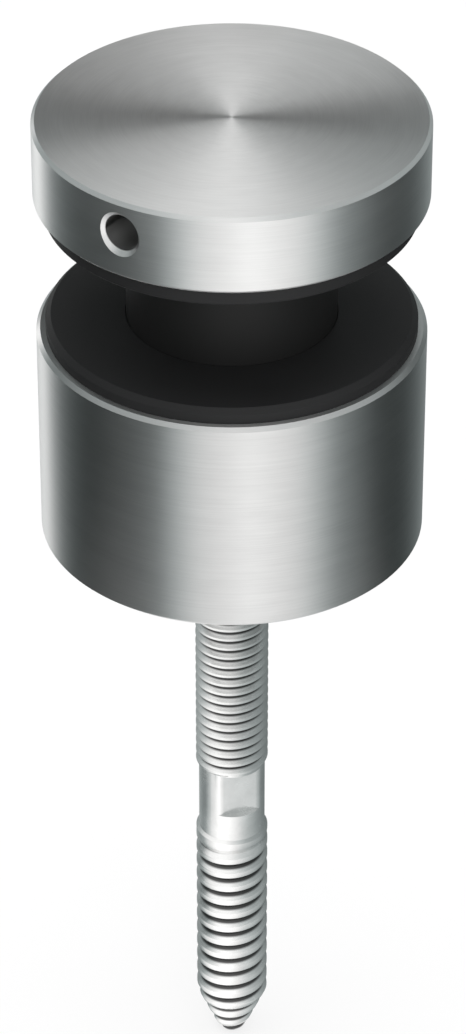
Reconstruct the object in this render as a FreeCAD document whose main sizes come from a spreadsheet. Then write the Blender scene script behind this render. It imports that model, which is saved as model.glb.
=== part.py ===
import FreeCAD, Part
import math
import os
import Sketcher

# Point fixing that holds a glass panel off a wall, shown open and without its glass.
# Z runs up the common axis towards the cap. Z = 0 is the underside of the spacer body.

# Driving sizes in millimetres, angles in degrees, each written once.
SIZES = [
    # cap disc
    ("cap_diameter", 50.0),
    ("cap_thickness", 10.5),
    ("cap_top_chamfer", 0.45),
    ("cap_bottom_chamfer", 0.4),
    ("cap_socket_depth", 7.0),
    # blind hole in the side of the cap for a turning bar
    ("bar_hole_diameter", 4.8),
    ("bar_hole_mouth", 6.0),
    ("bar_hole_depth", 10.0),
    ("bar_hole_height", 6.0),
    ("bar_hole_turn", 33.0),
    ("bar_cutter_overrun", 0.5),
    # spacer body
    ("body_diameter", 50.0),
    ("body_height", 30.0),
    ("body_chamfer", 0.5),
    # metric thread, crest diameter, shared by the stud, the bolt and their tapped holes
    ("thread_diameter", 9.8),
    ("thread_clearance", 0.05),
    ("thread_lead_in", 0.8),
    ("tapped_hole_mouth", 0.7),
    # gaskets either side of the glass
    ("upper_gasket_diameter", 47.4),
    ("upper_gasket_thickness", 2.5),
    ("upper_gasket_chamfer", 0.35),
    ("lower_gasket_diameter", 47.6),
    ("lower_gasket_thickness", 2.0),
    ("lower_gasket_chamfer", 0.7),
    ("sleeve_clearance", 0.4),
    # glass and the bush that lines its hole
    ("glass_slot", 15.0),
    ("thinnest_glass", 10.0),
    ("bush_gap", 0.3),
    ("bush_diameter", 27.0),
    ("bush_clearance", 0.1),
    ("bush_chamfer", 0.6),
    # stud between cap and body
    ("stud_length", 35.0),
    ("key_socket_width", 5.0),
    ("key_socket_depth", 5.0),
    # hanger bolt
    ("bolt_length", 100.0),
    ("bolt_engagement", 12.5),
    ("machine_thread_length", 52.0),
    ("shank_diameter", 9.0),
    ("shank_length", 11.7),
    ("wrench_flat_width", 7.0),
    ("wrench_flat_height", 7.2),
    ("wrench_flat_turn", 17.0),
    ("wood_thread_diameter", 9.8),
    ("wood_thread_depth", 1.1),
    ("wood_thread_pitch", 2.4),
    ("wood_groove_width", 1.6),
    ("wood_cutter_overrun", 0.35),
    ("point_length", 7.5),
    ("point_diameter", 3.6),
    ("point_chamfer", 0.4),
]

SHEET = "Sizes"
HALF_DRILL_ANGLE = 59.0
HEX_CORNERS = 6
FULL_TURN = 360.0

# A sketch's own axes and origin, and the points of a line or circle in it.
H_AXIS = -1
V_AXIS = -2
ORIGIN = (-1, 1)
START = 1
END = 2
CENTRE = 3


class Size:
    """A number together with the sheet expression that gives it."""

    def __init__(self, text, value):
        self.text = text
        self.value = value

    @staticmethod
    def of(other):
        if isinstance(other, Size):
            return other
        return Size(repr(float(other)), float(other))

    def __add__(self, other):
        other = Size.of(other)
        return Size(f"({self.text} + {other.text})", self.value + other.value)

    def __sub__(self, other):
        other = Size.of(other)
        return Size(f"({self.text} - {other.text})", self.value - other.value)

    def __mul__(self, other):
        other = Size.of(other)
        return Size(f"({self.text} * {other.text})", self.value * other.value)

    def __truediv__(self, other):
        other = Size.of(other)
        return Size(f"({self.text} / {other.text})", self.value / other.value)

    def __neg__(self):
        return Size(f"(0 - {self.text})", -self.value)


class Sizes:
    """Every driving size by name, as a Size bound to its cell."""

    def __init__(self, table):
        for name, value in table:
            setattr(self, name, Size(f"{SHEET}.{name}", value))


def make_sheet(doc, table):
    sheet = doc.addObject("Spreadsheet::Sheet", SHEET)
    for row, (name, value) in enumerate(table, start=1):
        sheet.set(f"A{row}", name)
        sheet.set(f"B{row}", str(value))
        sheet.setAlias(f"B{row}", name)
    doc.recompute()
    return sheet


def bind(obj, path, size):
    obj.setExpression(path, size.text)


def place_at_height(body, height):
    bind(body, "Placement.Base.z", height)


def sketch_on(body, role, name):
    """A sketch on one of the body's own origin planes."""
    sketch = body.newObject("Sketcher::SketchObject", name)
    plane = next(item for item in body.Origin.OriginFeatures if item.Role == role)
    sketch.AttachmentSupport = [(plane, "")]
    sketch.MapMode = "FlatFace"
    return sketch


def pin_corner(sketch, line, axis, coordinate):
    """Ties the start of a line to the axis, or to a bound distance from it."""
    if not isinstance(coordinate, Size):
        on_axis = V_AXIS if axis == "X" else H_AXIS
        sketch.addConstraint(Sketcher.Constraint("PointOnObject", line, START, on_axis))
        return
    label = f"corner{line}_{axis.lower()}"
    rule = Sketcher.Constraint("Distance" + axis, *ORIGIN, line, START, coordinate.value)
    index = sketch.addConstraint(rule)
    sketch.renameConstraint(index, label)
    bind(sketch, f"Constraints.{label}", coordinate)


def draw_outline(sketch, corners):
    """A closed outline of straight lines; a coordinate is a Size, or 0 on an axis."""
    points = []
    for across, up in corners:
        points.append(FreeCAD.Vector(Size.of(across).value, Size.of(up).value, 0))
    first = sketch.GeometryCount
    for index, start in enumerate(points):
        end = points[(index + 1) % len(points)]
        sketch.addGeometry(Part.LineSegment(start, end), False)
    for index in range(len(points)):
        follower = first + (index + 1) % len(points)
        sketch.addConstraint(Sketcher.Constraint("Coincident", first + index, END, follower, START))
    for index, (across, up) in enumerate(corners):
        pin_corner(sketch, first + index, "X", across)
        pin_corner(sketch, first + index, "Y", up)


def turned_body(doc, label, corners):
    """A body revolved about Z from half its section, as it comes off a lathe."""
    body = doc.addObject("PartDesign::Body", label)
    body.Label = label
    sketch = sketch_on(body, "XZ_Plane", label + "_section")
    draw_outline(sketch, corners)
    turned = body.newObject("PartDesign::Revolution", label + "_turned")
    turned.Profile = sketch
    turned.ReferenceAxis = (sketch, ["V_Axis"])
    turned.Angle = FULL_TURN
    doc.recompute()
    return body


def turn_about_z():
    """A placement with its turn about Z, so that only the angle has to be bound."""
    return FreeCAD.Placement(FreeCAD.Vector(), FreeCAD.Rotation(FreeCAD.Vector(0, 0, 1), 1))


def finish_cut(doc, body, before):
    """Recomputes after a cut, and stops if it took nothing off the volume before it."""
    doc.recompute()
    removed = before - body.Shape.Volume
    if removed <= 0:
        raise RuntimeError(f"{body.Label}: the last cut removed nothing")


def make_cap(doc, size):
    """Disc with a blind tapped hole below and a blind bar hole in its side."""
    outer = size.cap_diameter / 2
    tapped = size.thread_diameter / 2 + size.thread_clearance
    top = size.cap_thickness
    mouth = size.tapped_hole_mouth
    corners = [
        (tapped + mouth, 0),
        (outer - size.cap_bottom_chamfer, 0),
        (outer, size.cap_bottom_chamfer),
        (outer, top - size.cap_top_chamfer),
        (outer - size.cap_top_chamfer, top),
        (0, top),
        (0, size.cap_socket_depth),
        (tapped, size.cap_socket_depth),
        (tapped, mouth),
    ]
    body = turned_body(doc, "cap", corners)

    # The bar hole lies along -Y until the finished cap is turned about Z.
    before = body.Shape.Volume
    sketch = sketch_on(body, "YZ_Plane", "bar_hole_section")
    bind(sketch, "AttachmentOffset.Base.y", size.bar_hole_height)
    hole = size.bar_hole_diameter / 2
    rim = size.bar_hole_mouth / 2
    beyond = size.bar_cutter_overrun
    end = outer - size.bar_hole_depth
    cone = hole / math.tan(math.radians(HALF_DRILL_ANGLE))
    draw_outline(sketch, [
        (-(outer + beyond), 0),
        (-(outer + beyond), rim + beyond),
        (-(outer - rim + hole), hole),
        (-end, hole),
        (-(end - cone), 0),
    ])
    groove = body.newObject("PartDesign::Groove", "bar_hole")
    groove.Profile = sketch
    groove.ReferenceAxis = (sketch, ["H_Axis"])
    groove.Angle = FULL_TURN
    finish_cut(doc, body, before)

    body.Placement = turn_about_z()
    bind(body, "Placement.Rotation.Angle", -size.bar_hole_turn)
    place_at_height(body, glass_top(size) + size.upper_gasket_thickness)
    return body


def make_cap_stud(doc, size):
    """Threaded rod screwed home in the cap, with a hexagon socket in its free end."""
    radius = size.thread_diameter / 2
    lead = size.thread_lead_in
    top = size.stud_length
    corners = [
        (0, 0),
        (radius - lead, 0),
        (radius, lead),
        (radius, top - lead),
        (radius - lead, top),
        (0, top),
    ]
    body = turned_body(doc, "cap_stud", corners)

    before = body.Shape.Volume
    sketch = sketch_on(body, "XY_Plane", "key_socket_outline")
    corner_reach = size.key_socket_width / 2 / math.cos(math.pi / HEX_CORNERS)
    hexagon = []
    for index in range(HEX_CORNERS):
        turn = 2 * math.pi * index / HEX_CORNERS
        hexagon.append(FreeCAD.Vector(math.cos(turn), math.sin(turn), 0) * corner_reach.value)
    for index, corner in enumerate(hexagon):
        sketch.addGeometry(Part.LineSegment(corner, hexagon[(index + 1) % HEX_CORNERS]), False)
    circle = Part.Circle(FreeCAD.Vector(), FreeCAD.Vector(0, 0, 1), corner_reach.value)
    ring = sketch.addGeometry(circle, True)
    sketch.addConstraint(Sketcher.Constraint("Coincident", ring, CENTRE, *ORIGIN))
    for index in range(HEX_CORNERS):
        follower = (index + 1) % HEX_CORNERS
        sketch.addConstraint(Sketcher.Constraint("Coincident", index, END, follower, START))
        sketch.addConstraint(Sketcher.Constraint("PointOnObject", index, START, ring))
        if index:
            sketch.addConstraint(Sketcher.Constraint("Equal", 0, index))
    sketch.addConstraint(Sketcher.Constraint("PointOnObject", 0, START, H_AXIS))
    rule = sketch.addConstraint(Sketcher.Constraint("Radius", ring, corner_reach.value))
    sketch.renameConstraint(rule, "corner_reach")
    bind(sketch, "Constraints.corner_reach", corner_reach)
    pocket = body.newObject("PartDesign::Pocket", "key_socket")
    pocket.Profile = sketch
    pocket.Reversed = True
    bind(pocket, "Length", size.key_socket_depth)
    finish_cut(doc, body, before)

    underside = glass_top(size) + size.upper_gasket_thickness
    place_at_height(body, underside + size.cap_socket_depth - size.stud_length)
    return body


def make_upper_gasket(doc, size):
    """Rubber ring round the stud, under the cap, with its lower rim taken off."""
    bore = size.thread_diameter / 2 + size.sleeve_clearance
    outer = size.upper_gasket_diameter / 2
    chamfer = size.upper_gasket_chamfer
    body = turned_body(doc, "upper_gasket", [
        (bore, 0),
        (outer - chamfer, 0),
        (outer, chamfer),
        (outer, size.upper_gasket_thickness),
        (bore, size.upper_gasket_thickness),
    ])
    place_at_height(body, glass_top(size))
    return body


def make_lower_gasket(doc, size):
    """Rubber ring round the bush, on the body, with its upper rim taken off."""
    bore = size.bush_diameter / 2 + size.bush_clearance
    outer = size.lower_gasket_diameter / 2
    thickness = size.lower_gasket_thickness
    chamfer = size.lower_gasket_chamfer
    body = turned_body(doc, "lower_gasket", [
        (bore, 0),
        (outer, 0),
        (outer, thickness - chamfer),
        (outer - chamfer, thickness),
        (bore, thickness),
    ])
    place_at_height(body, size.body_height)
    return body


def make_glass_bush(doc, size):
    """Sleeve that stands on the body and lines the hole in the glass, just below its face."""
    bore = size.thread_diameter / 2 + size.sleeve_clearance
    outer = size.bush_diameter / 2
    top = size.lower_gasket_thickness + size.thinnest_glass - size.bush_gap
    chamfer = size.bush_chamfer
    corners = [
        (bore, 0),
        (outer, 0),
        (outer, top - chamfer),
        (outer - chamfer, top),
        (bore, top),
    ]
    body = turned_body(doc, "glass_bush", corners)
    place_at_height(body, size.body_height)
    return body


def make_spacer_body(doc, size):
    """Solid cylinder tapped right through, chamfered at both ends."""
    outer = size.body_diameter / 2
    tapped = size.thread_diameter / 2 + size.thread_clearance
    mouth = size.tapped_hole_mouth
    chamfer = size.body_chamfer
    top = size.body_height
    corners = [
        (tapped + mouth, 0),
        (outer - chamfer, 0),
        (outer, chamfer),
        (outer, top - chamfer),
        (outer - chamfer, top),
        (tapped + mouth, top),
        (tapped, top - mouth),
        (tapped, mouth),
    ]
    return turned_body(doc, "spacer_body", corners)


def cut_wood_thread(doc, body, size, point_start, shank_end):
    """Right-hand groove from the point, where it runs out through the taper, to the shank."""
    before = body.Shape.Volume
    crest = size.wood_thread_diameter / 2
    depth = size.wood_thread_depth
    beyond = size.wood_cutter_overrun
    mouth = size.wood_groove_width / 2 * (depth + beyond) / depth
    taper = (crest - size.point_diameter / 2) / size.point_length
    start = point_start - depth / taper - mouth
    sketch = sketch_on(body, "XZ_Plane", "wood_thread_section")
    draw_outline(sketch, [
        (crest - depth, start),
        (crest + beyond, start - mouth),
        (crest + beyond, start + mouth),
    ])
    groove = body.newObject("PartDesign::SubtractiveHelix", "wood_thread")
    groove.Profile = sketch
    groove.ReferenceAxis = (sketch, ["V_Axis"])
    groove.Mode = "pitch-height-angle"
    bind(groove, "Pitch", size.wood_thread_pitch)
    bind(groove, "Height", shank_end - start)
    finish_cut(doc, body, before)


def make_hanger_bolt(doc, size):
    """Bolt with a metric thread above, a gripped shank and a coarse wood thread below."""
    crest = size.thread_diameter / 2
    lead = size.thread_lead_in
    shank = size.shank_diameter / 2
    wood = size.wood_thread_diameter / 2
    tip = size.point_diameter / 2
    blunt = size.point_chamfer
    thread_end = -size.machine_thread_length
    shank_end = thread_end - size.shank_length
    point_start = size.point_length - size.bolt_length
    corners = [
        (0, -size.bolt_length),
        (tip - blunt, -size.bolt_length),
        (tip, blunt - size.bolt_length),
        (wood, point_start),
        (wood, shank_end),
        (shank, shank_end + wood - shank),
        (shank, thread_end),
        (crest, thread_end + crest - shank),
        (crest, -lead),
        (crest - lead, 0),
        (0, 0),
    ]
    body = turned_body(doc, "hanger_bolt", corners)

    # Two flats for a wrench, just below the metric thread.
    before = body.Shape.Volume
    sketch = sketch_on(body, "XY_Plane", "wrench_flat_outline")
    sketch.AttachmentOffset = turn_about_z()
    bind(sketch, "AttachmentOffset.Rotation.Angle", size.wrench_flat_turn)
    bind(sketch, "AttachmentOffset.Base.z", thread_end)
    flat = size.wrench_flat_width / 2
    reach = size.shank_diameter
    for side in (1, -1):
        draw_outline(sketch, [
            (-reach, flat * side),
            (reach, flat * side),
            (reach, reach * side),
            (-reach, reach * side),
        ])
    pocket = body.newObject("PartDesign::Pocket", "wrench_flats")
    pocket.Profile = sketch
    bind(pocket, "Length", size.wrench_flat_height)
    finish_cut(doc, body, before)

    cut_wood_thread(doc, body, size, point_start, shank_end)
    place_at_height(body, size.bolt_engagement)
    return body


def glass_bottom(size):
    return size.body_height + size.lower_gasket_thickness


def glass_top(size):
    return glass_bottom(size) + size.glass_slot


def check_document(doc, pieces):
    """Stops before anything is written if an object failed or a piece isn't a sound solid."""
    for obj in doc.Objects:
        if "Invalid" in obj.State or "Error" in obj.State:
            raise RuntimeError(f"{obj.Name} failed: {obj.State}")
    for piece in pieces:
        shape = piece.Shape
        if shape.isNull() or not shape.isValid() or not shape.Solids:
            raise RuntimeError(f"{piece.Label} has no sound shape")


def main():
    doc = FreeCAD.newDocument("GlassPointFixing")
    make_sheet(doc, SIZES)
    size = Sizes(SIZES)
    makers = [
        make_cap,
        make_cap_stud,
        make_upper_gasket,
        make_glass_bush,
        make_lower_gasket,
        make_spacer_body,
        make_hanger_bolt,
    ]
    pieces = [make(doc, size) for make in makers]
    doc.recompute()
    check_document(doc, pieces)
    os.makedirs("parts", exist_ok=True)
    for piece in pieces:
        piece.Shape.exportStep(f"parts/{piece.Label}.step")
        box = piece.Shape.BoundBox
        print(f"{piece.Label}: {piece.Shape.Volume:.1f} mm3, z {box.ZMin:.2f} to {box.ZMax:.2f}")


main()
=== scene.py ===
import math

import bmesh
import bpy
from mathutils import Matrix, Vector


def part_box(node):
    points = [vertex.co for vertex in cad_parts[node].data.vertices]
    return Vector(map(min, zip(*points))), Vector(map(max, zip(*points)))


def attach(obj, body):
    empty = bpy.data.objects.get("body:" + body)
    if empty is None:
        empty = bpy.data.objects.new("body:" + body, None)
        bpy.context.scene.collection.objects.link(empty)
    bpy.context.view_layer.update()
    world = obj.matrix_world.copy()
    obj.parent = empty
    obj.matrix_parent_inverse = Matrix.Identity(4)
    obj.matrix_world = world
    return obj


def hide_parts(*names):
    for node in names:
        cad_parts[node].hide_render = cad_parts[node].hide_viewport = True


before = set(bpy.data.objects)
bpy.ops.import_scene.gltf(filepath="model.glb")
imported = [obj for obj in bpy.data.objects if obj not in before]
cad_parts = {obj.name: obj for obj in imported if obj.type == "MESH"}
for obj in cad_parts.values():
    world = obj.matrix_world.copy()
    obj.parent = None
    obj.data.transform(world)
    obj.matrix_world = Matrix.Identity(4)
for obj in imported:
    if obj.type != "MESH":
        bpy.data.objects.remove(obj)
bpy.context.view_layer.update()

# Point fixing that holds a glass panel off a wall, shown open and without its glass.
# Everything is in metres, with Z up the common axis and the photographed side at -Y.
MM = 0.001
TINY = 1e-7

# Threads: each turn is spun in this many steps, a multiple of the socket's six corners.
TURN_STEPS = 72
SHARP_EDGE = math.radians(35)
# Turns that are spun past the low end of a thread, and cut off.
SPARE_METRIC_TURNS = 2
SPARE_WOOD_TURNS = 4

# Hanger bolt and cap stud, their lower and upper ends from the frame.
BOLT_LOW, BOLT_HIGH = (corner.z for corner in map(Vector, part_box("hanger_bolt")))
STUD_LOW, STUD_HIGH = (corner.z for corner in map(Vector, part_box("cap_stud")))
CREST = 4.9 * MM
METRIC_PITCH = 1.5 * MM
METRIC_DEPTH = 0.72 * MM
# Shares of the pitch: the flat crest, and half of the flat root.
METRIC_CREST = 0.28
METRIC_ROOT = 0.08
METRIC_ROUNDING = 0.05 * MM
LEAD_IN = 0.8 * MM
METRIC_LENGTH = 52 * MM
SHANK = 4.5 * MM
SHANK_LENGTH = 11.7 * MM
FLAT_REACH = 3.5 * MM
FLAT_HEIGHT = 7.2 * MM
FLAT_TURN = math.radians(17)
WOOD_PITCH = 2.4 * MM
WOOD_DEPTH = 1.1 * MM
WOOD_GROOVE = 1.6 * MM
WOOD_OVERRUN = 0.35 * MM
WOOD_ROUNDING = 0.06 * MM
POINT_LENGTH = 7.5 * MM
POINT_RADIUS = 1.8 * MM
POINT_CHAMFER = 0.4 * MM
THREAD_END = BOLT_HIGH - METRIC_LENGTH
SHOULDER = THREAD_END - SHANK_LENGTH + (CREST - SHANK)
# Downwards from here the wood thread's groove reaches its full depth over the run-out.
RUN_OUT_START = SHOULDER - 1.2 * MM
RUN_OUT = 3.2 * MM
# Length of shank above the shoulder that joins the two halves of the bolt.
JOIN_LENGTH = 0.5 * MM
POINT_START = BOLT_LOW + POINT_LENGTH
POINT_TAPER = (CREST - POINT_RADIUS) / POINT_LENGTH
SOCKET_REACH = 2.5 * MM
SOCKET_DEPTH = 5 * MM
SOCKET_CORNERS = 6

# Rolled steel: painted shade in the thread roots, from the share of the thread's depth below
# which the colour darkens, how fast, and to what level; and the width and depth of its drawing
# marks.
ROOT_SHADE_START = 0.55
ROOT_SHADE_CONTRAST = 3.0
ROOT_SHADE_LEVEL = 0.08
MARK_WIDTH = 0.12 * MM
MARK_DEPTH = 0.004 * MM

# Bar hole in the side of the cap; its end is told by the distance from the common axis.
BAR_HOLE_TURN = math.radians(-90 - 33)
BAR_HOLE_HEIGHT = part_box("cap")[0][2] + 6 * MM
BAR_HOLE_RADIUS = 2.4 * MM
BAR_HOLE_END = 12 * MM
BAR_HOLE_MARGIN = 0.05 * MM
# Painted shade: the bore of the bar hole is coloured this darker grey.
BAR_HOLE_SHADE_LEVEL = 0.5

# Turned steel: width and depth of its rings, and how steeply they cross a flat face.
RING_WIDTH = 0.16 * MM
RING_DEPTH = 0.006 * MM
RING_SLOPE = 1.6
STEEL_ROUGHNESS = 0.34
STEEL_SMEAR = 0.85
# Share of the rings in a colour that patches and rings make together.
RING_SHARE = 0.6

# Camera, from the rims of the cap in the photograph.
IMAGE_HEIGHT = 1034
FOCAL_PIXELS = 4497
SENSOR = 36
CAMERA_PLACE = Vector((0.15, -488.6, 333.7)) * MM
CAMERA_PITCH = math.radians(34.34)

# Studio: a pale floor under the point, two soft lamps, and two graded screens that only
# reflections see: a roofed one round the object, and a narrow one round the bolt.
FLOOR_SIZE = 24.0
FLOOR_LEVEL = 0.9
FLOOR_GLOW = 0.75
WORLD_LEVEL = 0.9
SCREEN_COOL = (0.85, 1.0, 1.0, 1)
SCREEN_SEGMENTS = 96
# The brightness at which a screen's ramp is full.
SCREEN_TOP_LEVEL = 2.0
# Brightness of a screen by azimuth, in degrees from the photographed side, + to the right.
WOOD_LEVELS = [
    (-180, 0.5), (-140, 0.4), (-110, 0.3), (-92, 0.4), (-76, 0.85), (-56, 1.2),
    (-40, 1.4), (-14, 1.4), (0, 1.25), (14, 1.05), (30, 0.8), (60, 0.55),
    (90, 0.36), (120, 0.24), (150, 0.2), (180, 0.5),
]
SHANK_LEVELS = [
    (-180, 0.5), (-140, 0.4), (-110, 0.24), (-90, 0.24), (-72, 0.75), (-54, 1.1),
    (-38, 1.35), (-14, 1.4), (0, 1.25), (14, 1.05), (30, 0.8), (60, 0.5),
    (90, 0.34), (120, 0.24), (150, 0.2), (180, 0.5),
]
METRIC_LEVELS = [
    (-180, 0.5), (-140, 0.36), (-108, 0.5), (-85, 0.95), (-68, 1.2), (-27, 1.25),
    (-13, 1.1), (0, 0.95), (15, 0.78), (29, 0.6), (43, 0.5), (59, 0.42),
    (75, 0.36), (94, 0.3), (116, 0.24), (150, 0.2), (180, 0.5),
]
SIDE_LEVELS = [
    (-180, 0.45), (-140, 0.5), (-130, 1.8), (-120, 0.7), (-111, 0.2), (-98, 0.09),
    (-80, 0.03), (-52, 0.06), (-38, 0.15), (-18, 0.86), (9, 1.25), (35, 0.9),
    (56, 0.25), (80, 0.06), (104, 0.04), (116, 0.11), (124, 0.15), (136, 0.3),
    (180, 0.45),
]
LOW_TOP_LEVELS = [
    (-180, 0.0), (-157, 0.0), (-145, 0.32), (-128, 0.42), (-100, 0.42), (-30, 0.88),
    (45, 1.0), (100, 0.45), (145, 0.5), (165, 0.5), (178, 0.0), (180, 0.0),
]
TOP_LEVELS = [
    (-180, 0.0), (-157, 0.0), (-145, 0.32), (-128, 0.42), (-100, 0.42), (-30, 0.88),
    (45, 1.0), (100, 0.5), (145, 0.52), (158, 0.0), (180, 0.0),
]
ROOF_LEVELS = [
    (-180, 1.3), (-167, 1.05), (-150, 0.75), (-115, 0.45), (-90, 0.36), (-65, 0.36),
    (-30, 0.8), (0, 1.1), (30, 0.75), (65, 0.32), (90, 0.26), (115, 0.28),
    (150, 0.48), (167, 0.85), (180, 1.3),
]
# Each screen's rims, as radius and height from its foot up, and the lower edge of each band.
OUTER_RADIUS = 90 * MM
WALL_TOP = 117.5 * MM
INNER_RADIUS = 22 * MM
LOWEST, HIGHEST = -1.0, 1.0
OUTER_RIMS = [
    (OUTER_RADIUS, BOLT_LOW + MM),
    (OUTER_RADIUS, WALL_TOP),
    (75 * MM, 165 * MM),
    (40 * MM, 195 * MM),
    (1 * MM, 200 * MM),
]
OUTER_BANDS = [
    (LOWEST, SIDE_LEVELS),
    (62 * MM, LOW_TOP_LEVELS),
    (92 * MM, TOP_LEVELS),
    (WALL_TOP, ROOF_LEVELS),
    (HIGHEST, None),
]
INNER_RIMS = [
    (3 * MM, BOLT_LOW + 0.2 * MM),
    (INNER_RADIUS, -62 * MM),
    (INNER_RADIUS, -1 * MM),
]
INNER_BANDS = [
    (LOWEST, WOOD_LEVELS),
    (-62.5 * MM, SHANK_LEVELS),
    (-51 * MM, METRIC_LEVELS),
    (HIGHEST, None),
]


class Signal:
    """A node's output; arithmetic on signals adds the Math nodes for it."""

    def __init__(self, graph, socket):
        self.graph = graph
        self.socket = socket

    def math(self, operation, first, second=0.0):
        node = self.graph.add("ShaderNodeMath", {"operation": operation}, {0: first, 1: second})
        return Signal(self.graph, node.outputs[0])

    def __add__(self, other):
        return self.math("ADD", self, other)

    def __radd__(self, other):
        return self.math("ADD", other, self)

    def __sub__(self, other):
        return self.math("SUBTRACT", self, other)

    def __rsub__(self, other):
        return self.math("SUBTRACT", other, self)

    def __mul__(self, other):
        return self.math("MULTIPLY", self, other)

    def __rmul__(self, other):
        return self.math("MULTIPLY", other, self)

    def __truediv__(self, other):
        return self.math("DIVIDE", self, other)

    def __pow__(self, other):
        return self.math("POWER", self, other)

    def above(self, other):
        return self.math("GREATER_THAN", self, other)

    def below(self, other):
        return self.math("LESS_THAN", self, other)

    def at_most(self, other):
        return self.math("MINIMUM", self, other)

    def at_least(self, other):
        return self.math("MAXIMUM", self, other)


class Graph:
    """The nodes of one material or world."""

    def __init__(self, owner):
        owner.use_nodes = True
        self.tree = owner.node_tree
        self.tree.nodes.clear()

    def add(self, kind, settings=None, inputs=None):
        node = self.tree.nodes.new(kind)
        for name, value in (settings or {}).items():
            if name == "stops":
                self.set_stops(node.color_ramp.elements, value)
            else:
                setattr(node, name, value)
        for name, value in (inputs or {}).items():
            if isinstance(value, Signal):
                self.tree.links.new(value.socket, node.inputs[name])
            else:
                node.inputs[name].default_value = value
        return node

    def read(self, kind, output=0, settings=None, inputs=None):
        return Signal(self, self.add(kind, settings, inputs).outputs[output])

    @staticmethod
    def set_stops(elements, stops):
        for position, _ in stops[2:]:
            elements.new(position)
        for element, (position, level) in zip(elements, stops):
            element.position = position
            element.color = (level, level, level, 1)

    def place(self):
        """Object coordinates, whole and split."""
        whole = self.read("ShaderNodeTexCoord", "Object")
        parts = self.add("ShaderNodeSeparateXYZ", None, {0: whole})
        return whole, [Signal(self, output) for output in parts.outputs]

    def vector(self, x, y, z):
        return self.read("ShaderNodeCombineXYZ", 0, None, {0: x, 1: y, 2: z})

    def mix_colour(self, factor, first, second):
        inputs = {"Factor": factor, 6: first, 7: second}
        return self.read("ShaderNodeMix", 2, {"data_type": "RGBA"}, inputs)

    def finish(self, kind, shader):
        self.tree.links.new(shader.socket, self.add(kind).inputs["Surface"])


def new_material(name):
    material = bpy.data.materials.new(name)
    return material, Graph(material)


def grey(level, tint=0.995):
    return (level, level, level * tint, 1)


def round_axis(graph, x, y, radius, stretch, along):
    """Coordinates for noise that changes slowly round the axis and fast along it."""
    return graph.vector(x / radius * stretch, y / radius * stretch, along)


def inside_bar_hole(x, y, z):
    """1 in the drilled part of the cap's bar hole, 0 elsewhere."""
    out = (math.cos(BAR_HOLE_TURN), math.sin(BAR_HOLE_TURN))
    along = x * out[0] + y * out[1]
    across = x * out[1] - y * out[0]
    up = z - BAR_HOLE_HEIGHT
    distance = (across * across + up * up) ** 0.5
    return distance.below(BAR_HOLE_RADIUS + BAR_HOLE_MARGIN) * along.above(BAR_HOLE_END)


def turned_steel(name, dark, light, drilled=False):
    """Steel turned on a lathe: fine rings round the axis smear each reflection across them; when
    drilled, the bore of the cap's bar hole gets painted shade.
    """
    material, graph = new_material(name)
    _, (x, y, z) = graph.place()
    radius = (x * x + y * y) ** 0.5
    safe_radius = radius + TINY
    across = (z + radius * RING_SLOPE) / RING_WIDTH
    rings = graph.read("ShaderNodeTexNoise", 0, None, {
        "Vector": round_axis(graph, x, y, safe_radius, 1.5, across),
        "Scale": 1.0, "Detail": 3.0, "Roughness": 0.6,
    })
    patches = graph.read("ShaderNodeTexNoise", 0, None, {
        "Vector": round_axis(graph, x, y, safe_radius, 4, across * 0.1),
        "Scale": 1.0, "Detail": 2.0, "Roughness": 0.5,
    })
    bump = graph.read("ShaderNodeBump", 0, None, {
        "Strength": 1.0, "Distance": RING_DEPTH, "Height": rings,
    })
    tangent = graph.read("ShaderNodeTangent", 0, {"direction_type": "RADIAL", "axis": "Z"})
    mixture = rings * RING_SHARE + patches * (1 - RING_SHARE)
    colour = graph.mix_colour(mixture, dark, light)
    # Painted shade in the bore of the cap's bar hole.
    if drilled:
        colour = graph.mix_colour(inside_bar_hole(x, y, z), colour, grey(BAR_HOLE_SHADE_LEVEL))
    shader = graph.read("ShaderNodeBsdfPrincipled", 0, None, {
        "Base Color": colour,
        "Metallic": 1.0,
        "Roughness": STEEL_ROUGHNESS - 0.06 + rings * 0.08 + patches * 0.04,
        "Anisotropic": STEEL_SMEAR,
        "Anisotropic Rotation": 0.25,
        "Tangent": tangent,
        "Normal": bump,
    })
    graph.finish("ShaderNodeOutputMaterial", shader)
    return material


def thread_steel():
    """Bright rolled steel with faint drawing marks, and painted shade darkening the roots of the
    threads.
    """
    material, graph = new_material("rolled_thread_steel")
    whole, (x, y, z) = graph.place()
    radius = (x * x + y * y) ** 0.5 + TINY
    # Painted shade: the colour darkens towards the roots of the threads, where less light falls.
    crest = ((z - BOLT_LOW) * POINT_TAPER + POINT_RADIUS).at_most(CREST)
    depth = (1.0 - radius / crest) * (CREST / METRIC_DEPTH)
    threaded = z.above(THREAD_END) + z.below(SHOULDER)
    root = ((depth - ROOT_SHADE_START) * ROOT_SHADE_CONTRAST).at_least(0.0).at_most(1.0) * threaded
    marks = graph.read("ShaderNodeTexNoise", 0, None, {
        "Vector": round_axis(graph, x, y, radius, 3, z / MARK_WIDTH),
        "Scale": 1.0, "Detail": 3.0, "Roughness": 0.6,
    })
    clouds = graph.read("ShaderNodeTexNoise", 0, None, {
        "Vector": whole, "Scale": 380.0, "Detail": 3.0, "Roughness": 0.55,
    })
    bump = graph.read("ShaderNodeBump", 0, None, {
        "Strength": 1.0, "Distance": MARK_DEPTH, "Height": marks,
    })
    bright = graph.mix_colour(clouds, grey(0.66), grey(0.9))
    shader = graph.read("ShaderNodeBsdfPrincipled", 0, None, {
        # Painted shade in the thread roots: the colour is mixed towards a dark grey there.
        "Base Color": graph.mix_colour(root, bright, grey(ROOT_SHADE_LEVEL)),
        "Metallic": 1.0,
        "Roughness": 0.16 + marks * 0.1 + clouds * 0.08,
        "Normal": bump,
    })
    graph.finish("ShaderNodeOutputMaterial", shader)
    return material


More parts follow.
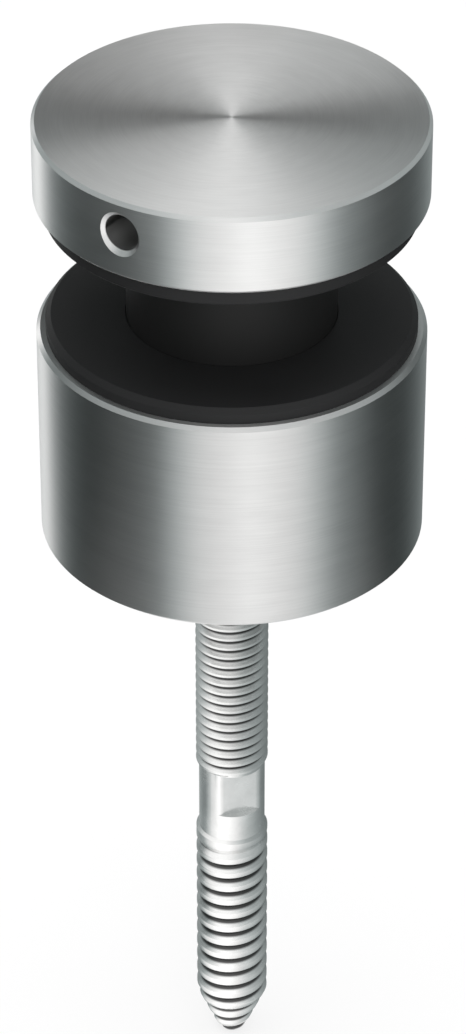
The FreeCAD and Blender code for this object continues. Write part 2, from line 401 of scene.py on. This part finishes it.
def black_moulding(name, dark, light, roughness, grain_size, grain_depth):
    """Moulded black rubber or nylon with a fine matt grain."""
    material, graph = new_material(name)
    whole, _ = graph.place()
    grain = graph.read("ShaderNodeTexNoise", 0, None, {
        "Vector": whole, "Scale": 1 / grain_size, "Detail": 4.0, "Roughness": 0.65,
    })
    clouds = graph.read("ShaderNodeTexNoise", 0, None, {
        "Vector": whole, "Scale": 90.0, "Detail": 2.0, "Roughness": 0.5,
    })
    bump = graph.read("ShaderNodeBump", 0, None, {
        "Strength": 1.0, "Distance": grain_depth, "Height": grain,
    })
    shader = graph.read("ShaderNodeBsdfPrincipled", 0, None, {
        "Base Color": graph.mix_colour(clouds * 0.7 + grain * 0.3, dark, light),
        "Roughness": roughness - 0.08 + grain * 0.12 + clouds * 0.06,
        "Specular IOR Level": 0.35,
        "Normal": bump,
    })
    graph.finish("ShaderNodeOutputMaterial", shader)
    return material


def spin_thread(bm, section, lead, start, turns):
    """Spins one turn's section of (radius, height) points and stacks it, right-handed."""
    verts = [bm.verts.new((radius, 0, start + height)) for radius, height in section]
    edges = [bm.edges.new(pair) for pair in zip(verts, verts[1:])]
    bmesh.ops.spin(
        bm, geom=verts + edges, cent=(0, 0, 0), axis=(0, 0, 1),
        dvec=(0, 0, lead / TURN_STEPS), angle=math.tau, steps=TURN_STEPS,
    )
    one_turn = bm.verts[:] + bm.edges[:] + bm.faces[:]
    for count in range(1, turns):
        copied = bmesh.ops.duplicate(bm, geom=one_turn)["geom"]
        moved = [item for item in copied if isinstance(item, bmesh.types.BMVert)]
        bmesh.ops.translate(bm, verts=moved, vec=(0, 0, lead * count))
    bmesh.ops.remove_doubles(bm, verts=bm.verts, dist=TINY * 10)


def slice_at(bm, height, keep):
    """Cuts across the axis; keeps what is above or below, or both, and returns the cut edges."""
    cut = bmesh.ops.bisect_plane(
        bm, geom=bm.verts[:] + bm.edges[:] + bm.faces[:], dist=TINY,
        plane_co=(0, 0, height), plane_no=(0, 0, 1),
        clear_inner=keep == "above", clear_outer=keep == "below",
    )
    return [item for item in cut["geom_cut"] if isinstance(item, bmesh.types.BMEdge)]


def turn_down(bm, allowed):
    """Takes every point that stands proud of the allowed radius back to it, as a lathe would."""
    for vert in bm.verts:
        reach = math.hypot(vert.co.x, vert.co.y)
        limit = allowed(vert.co.z)
        if reach > limit:
            vert.co.x *= limit / reach
            vert.co.y *= limit / reach


def grow_ring(bm, loop, height, reach):
    """Extrudes a ring of edges to a height, with its radius given by direction."""
    grown = bmesh.ops.extrude_edge_only(bm, edges=loop)["geom"]
    for vert in grown:
        if isinstance(vert, bmesh.types.BMVert):
            out = Vector((vert.co.x, vert.co.y, 0)).normalized()
            vert.co = out * reach(out) + Vector((0, 0, height))
    return [item for item in grown if isinstance(item, bmesh.types.BMEdge)]


def metric_section():
    """One turn of the metric thread, from the middle of a root to the next."""
    pitch = METRIC_PITCH
    root = CREST - METRIC_DEPTH
    round_off = METRIC_ROUNDING
    crest_start = pitch * (1 - METRIC_CREST) / 2
    return [
        (root, 0),
        (root + round_off / 2, pitch * METRIC_ROOT),
        (CREST - round_off, crest_start),
        (CREST, crest_start + round_off),
        (CREST, pitch - crest_start - round_off),
        (CREST - round_off, pitch - crest_start),
        (root + round_off / 2, pitch * (1 - METRIC_ROOT)),
        (root, pitch),
    ]


def wood_section():
    """One turn of the wood thread, from the bottom of a groove to the next."""
    root = CREST - WOOD_DEPTH
    half = WOOD_GROOVE / 2
    round_off = WOOD_ROUNDING
    return [
        (root, 0),
        (root + round_off, round_off),
        (CREST - round_off, half - round_off / 2),
        (CREST, half + round_off),
        (CREST, WOOD_PITCH - half - round_off),
        (CREST - round_off, WOOD_PITCH - half + round_off / 2),
        (root + round_off, WOOD_PITCH - round_off),
        (root, WOOD_PITCH),
    ]


def metric_rod(bm, low, high, low_chamfer):
    """A length of metric thread with its ends cut square and chamfered; returns its end loops."""
    start = low - METRIC_PITCH * SPARE_METRIC_TURNS
    turns = math.ceil((high - start) / METRIC_PITCH) + 1
    spin_thread(bm, metric_section(), METRIC_PITCH, start, turns)
    slice_at(bm, high - LEAD_IN, "both")
    slice_at(bm, low + low_chamfer, "both")
    bottom = slice_at(bm, low, "above")
    top = slice_at(bm, high, "below")

    def allowed(height):
        near_top = CREST - LEAD_IN + (high - height)
        near_bottom = CREST - low_chamfer + (height - low)
        return min(near_top, near_bottom, CREST)

    turn_down(bm, allowed)
    return bottom, top


def finish_mesh(bm, name, node, body, material):
    """Cleans the mesh, makes its normals point out, and stands the piece in for its node."""
    bmesh.ops.remove_doubles(bm, verts=bm.verts, dist=TINY * 10)
    bmesh.ops.dissolve_degenerate(bm, dist=TINY, edges=bm.edges)
    bmesh.ops.recalc_face_normals(bm, faces=bm.faces)
    for face in bm.faces:
        face.smooth = True
    for edge in bm.edges:
        edge.smooth = edge.calc_face_angle(math.pi) < SHARP_EDGE
    mesh = bpy.data.meshes.new(name)
    bm.to_mesh(mesh)
    bm.free()
    mesh.materials.append(material)
    piece = bpy.data.objects.new(name, mesh)
    bpy.context.scene.collection.objects.link(piece)
    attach(piece, body)
    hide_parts(node)


def make_threaded_stud(material):
    """The cap's stud with its thread cut, and the hexagon socket in its free end."""
    bm = bmesh.new()
    bottom, top = metric_rod(bm, STUD_LOW, STUD_HIGH, LEAD_IN)
    bmesh.ops.contextual_create(bm, geom=top)
    side = math.pi / SOCKET_CORNERS

    def hexagon(out):
        turn = math.atan2(out.y, out.x) % (2 * side)
        return SOCKET_REACH / math.cos(turn - side)

    rim = grow_ring(bm, bottom, STUD_LOW, hexagon)
    floor = grow_ring(bm, rim, STUD_LOW + SOCKET_DEPTH, hexagon)
    bmesh.ops.contextual_create(bm, geom=floor)
    finish_mesh(bm, "threaded_cap_stud", "cap_stud", "cap_screw", material)


def make_wood_thread(bm):
    """The bolt's lower end: coarse thread that runs out through the point."""
    mouth = WOOD_GROOVE / 2 * (WOOD_DEPTH + WOOD_OVERRUN) / WOOD_DEPTH
    groove_end = POINT_START - WOOD_DEPTH / POINT_TAPER - mouth
    start = groove_end - WOOD_PITCH * SPARE_WOOD_TURNS
    turns = math.ceil((SHOULDER - start) / WOOD_PITCH) + 1
    spin_thread(bm, wood_section(), WOOD_PITCH, start, turns)
    slice_at(bm, POINT_START, "both")
    slice_at(bm, BOLT_LOW + POINT_CHAMFER, "both")
    slice_at(bm, SHOULDER - (CREST - SHANK), "both")
    tip = slice_at(bm, BOLT_LOW, "above")
    slice_at(bm, SHOULDER, "below")

    for vert in bm.verts:
        on_point = CREST - max(POINT_START - vert.co.z, 0) * POINT_TAPER
        vert.co.xy *= on_point / CREST
        if vert.co.z > POINT_START:
            cut = min(max((RUN_OUT_START - vert.co.z) / RUN_OUT, 0), 1)
            root = CREST - WOOD_DEPTH * cut
            vert.co.xy *= max(root / vert.co.xy.length, 1)

    def allowed(height):
        on_blunt_end = POINT_RADIUS - POINT_CHAMFER + (height - BOLT_LOW)
        on_shoulder = SHANK + (SHOULDER - height)
        return min(on_blunt_end, on_shoulder, CREST)

    turn_down(bm, allowed)
    bmesh.ops.contextual_create(bm, geom=tip)


def make_threaded_bolt(material):
    """The hanger bolt: metric thread, shank with two wrench flats, wood thread and point."""
    wood = bmesh.new()
    shank_top = THREAD_END - (CREST - SHANK)
    flat_low = THREAD_END - FLAT_HEIGHT
    make_wood_thread(wood)
    lower = bpy.data.meshes.new("wood_thread_mesh")
    wood.to_mesh(lower)
    wood.free()

    bm = bmesh.new()
    bottom, top = metric_rod(bm, THREAD_END, BOLT_HIGH, 0.0)
    bmesh.ops.contextual_create(bm, geom=top)
    flat_normal = Vector((math.sin(FLAT_TURN), -math.cos(FLAT_TURN), 0))

    def round_shank(out):
        return SHANK

    def flatted_shank(out):
        facing = abs(out.dot(flat_normal))
        return min(SHANK, FLAT_REACH / max(facing, TINY))

    ring = grow_ring(bm, bottom, shank_top, round_shank)
    ring = grow_ring(bm, ring, shank_top, flatted_shank)
    ring = grow_ring(bm, ring, flat_low, flatted_shank)
    ring = grow_ring(bm, ring, flat_low, round_shank)
    ring = grow_ring(bm, ring, SHOULDER + JOIN_LENGTH, round_shank)
    bm.from_mesh(lower)
    bpy.data.meshes.remove(lower)
    open_edges = [edge for edge in bm.edges if edge.is_boundary]
    bmesh.ops.bridge_loops(bm, edges=open_edges)
    finish_mesh(bm, "threaded_hanger_bolt", "hanger_bolt", "wall_bolt", material)


def dress_node(name, material):
    """Gives a node that keeps its own shape its finish."""
    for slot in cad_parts[name].material_slots:
        slot.material = material


def stage_piece(bm, name, material):
    """A piece of the studio, which isn't part of the object."""
    mesh = bpy.data.meshes.new(name)
    bm.to_mesh(mesh)
    bm.free()
    mesh.materials.append(material)
    piece = bpy.data.objects.new(name, mesh)
    bpy.context.scene.collection.objects.link(piece)
    return piece


def make_floor():
    """Diffuse for the light on it and its shadows, with a glow of its own where it is seen."""
    bm = bmesh.new()
    bmesh.ops.create_grid(bm, x_segments=1, y_segments=1, size=FLOOR_SIZE / 2)
    bmesh.ops.translate(bm, verts=bm.verts, vec=(0, 0, BOLT_LOW))
    material, graph = new_material("pale_floor")
    path = graph.add("ShaderNodeLightPath")
    rays = ("Is Camera Ray", "Is Glossy Ray", "Is Transmission Ray")
    camera, glossy, through = (Signal(graph, path.outputs[ray]) for ray in rays)
    glow = (camera + glossy + through) * FLOOR_GLOW
    lit = graph.read("ShaderNodeBsdfDiffuse", 0, None, {"Color": grey(FLOOR_LEVEL, 1.0)})
    white = graph.read("ShaderNodeEmission", 0, None, {"Color": grey(1.0, 1.0), "Strength": 1.0})
    shader = graph.read("ShaderNodeMixShader", 0, None, {0: glow, 1: lit, 2: white})
    graph.finish("ShaderNodeOutputMaterial", shader)
    stage_piece(bm, "studio_floor", material)


def make_screen(name, rims, bands):
    """A graded screen all round, which only reflections see."""
    bm = bmesh.new()
    for (low_radius, low), (high_radius, high) in zip(rims, rims[1:]):
        band = bmesh.ops.create_cone(
            bm, cap_ends=False, segments=SCREEN_SEGMENTS,
            radius1=low_radius, radius2=high_radius, depth=high - low,
        )
        bmesh.ops.translate(bm, verts=band["verts"], vec=(0, 0, (low + high) / 2))
    material, graph = new_material(name + "_light")
    _, (x, y, z) = graph.place()
    azimuth = x.math("ARCTAN2", x, y * -1.0) / math.tau + 0.5
    strength = 0.0
    for (start, stops), (end, _) in zip(bands, bands[1:]):
        ramp = [((turn + 180) / 360, level / SCREEN_TOP_LEVEL) for turn, level in stops]
        share = graph.read("ShaderNodeValToRGB", 0, {"stops": ramp}, {0: azimuth})
        strength = share * SCREEN_TOP_LEVEL * z.above(start) * z.below(end) + strength
    tint = graph.mix_colour(strength, SCREEN_COOL, grey(1.0))
    shader = graph.read("ShaderNodeEmission", 0, None, {"Color": tint, "Strength": strength})
    graph.finish("ShaderNodeOutputMaterial", shader)
    screen = stage_piece(bm, name, material)
    screen.visible_camera = False
    screen.visible_diffuse = False
    screen.visible_transmission = False
    screen.visible_shadow = False


def add_lamp(name, place, size, energy):
    """A soft square lamp that faces the middle of the object."""
    data = bpy.data.lights.new(name, "AREA")
    data.size = size
    data.energy = energy
    lamp = bpy.data.objects.new(name, data)
    lamp.location = place
    lamp.rotation_euler = (-Vector(place)).to_track_quat("-Z", "Y").to_euler()
    bpy.context.scene.collection.objects.link(lamp)


def make_world():
    world = bpy.data.worlds.new("studio_world")
    bpy.context.scene.world = world
    graph = Graph(world)
    inputs = {"Color": grey(1.0, 1.0), "Strength": WORLD_LEVEL}
    shader = graph.read("ShaderNodeBackground", 0, None, inputs)
    graph.finish("ShaderNodeOutputWorld", shader)


def make_camera():
    data = bpy.data.cameras.new("photo_camera")
    data.sensor_fit = "VERTICAL"
    data.sensor_height = SENSOR
    data.lens = SENSOR * FOCAL_PIXELS / IMAGE_HEIGHT
    camera = bpy.data.objects.new("photo_camera", data)
    camera.location = CAMERA_PLACE
    camera.rotation_euler = (math.pi / 2 - CAMERA_PITCH, 0, 0)
    bpy.context.scene.collection.objects.link(camera)
    bpy.context.scene.camera = camera


def main():
    # The cap's steel paints shade into the bore of its bar hole.
    cap_finish = turned_steel("turned_cap_steel", grey(0.66), grey(0.86), drilled=True)
    body_finish = turned_steel("turned_body_steel", grey(0.57), grey(0.78))
    rubber = black_moulding(
        "black_rubber", grey(0.008, 1.05), grey(0.015, 1.05),
        roughness=0.62, grain_size=0.25 * MM, grain_depth=0.01 * MM,
    )
    nylon = black_moulding(
        "black_nylon", grey(0.007, 1.0), grey(0.012, 1.0),
        roughness=0.55, grain_size=0.4 * MM, grain_depth=0.006 * MM,
    )
    steel = thread_steel()
    dress_node("cap", cap_finish)
    dress_node("spacer_body", body_finish)
    dress_node("upper_gasket", rubber)
    dress_node("lower_gasket", rubber)
    dress_node("glass_bush", nylon)
    make_threaded_stud(steel)
    make_threaded_bolt(steel)
    make_floor()
    make_screen("outer_screen", OUTER_RIMS, OUTER_BANDS)
    make_screen("inner_screen", INNER_RIMS, INNER_BANDS)
    add_lamp("overhead_lamp", (0, 0.05, 0.9), size=0.7, energy=3.0)
    add_lamp("front_lamp", (0.25, -0.9, 0.7), size=0.5, energy=1.5)
    make_world()
    make_camera()
    bpy.context.scene.view_settings.view_transform = "Standard"


main()
